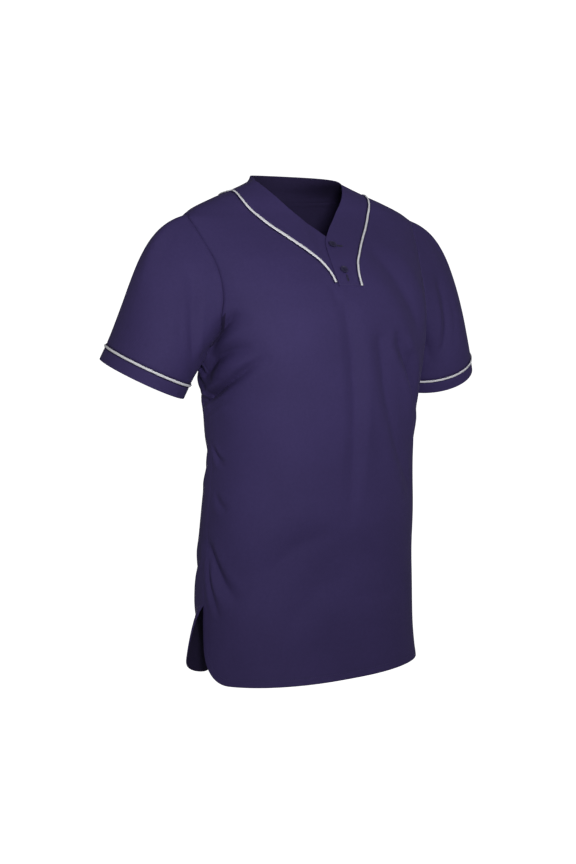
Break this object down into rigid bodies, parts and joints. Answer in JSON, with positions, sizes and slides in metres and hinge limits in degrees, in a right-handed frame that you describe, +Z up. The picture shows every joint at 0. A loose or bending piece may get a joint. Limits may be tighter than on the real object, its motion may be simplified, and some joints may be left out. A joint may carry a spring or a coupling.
{
  "type": "baseball jersey",
  "caption": "Short-sleeved V-neck baseball jersey with a buttoned placket, piped neck and cuffs, and vented round hem, in its worn shape.",
  "frame": {"origin": "midway between the two high points of the shoulders at the neck's edge, where the garment hangs from its wearer or hanger", "axes": "+Z up, -Y towards the front, +X towards the wearer's left"},
  "size_m": [0.6598, 0.2564, 0.7562],
  "materials": {
    "cloth": "matt knit with a faint sheen",
    "piping": "smooth woven piping",
    "buttons": "dyed, half gloss"
  },
  "bodies": {
    "root": {"front": "cloth", "back": "cloth", "neck_band_back": "cloth", "neck_piping_back": "piping", "sleeve_right": "cloth", "cuff_right": "cloth", "sleeve_piping_right": "piping", "neck_band_right": "cloth", "neck_piping_right": "piping", "sleeve_left": "cloth", "cuff_left": "cloth", "sleeve_piping_left": "piping", "neck_band_left": "cloth", "neck_piping_left": "piping", "button_upper": "buttons", "button_lower": "buttons"}
  },
  "joints": []
}
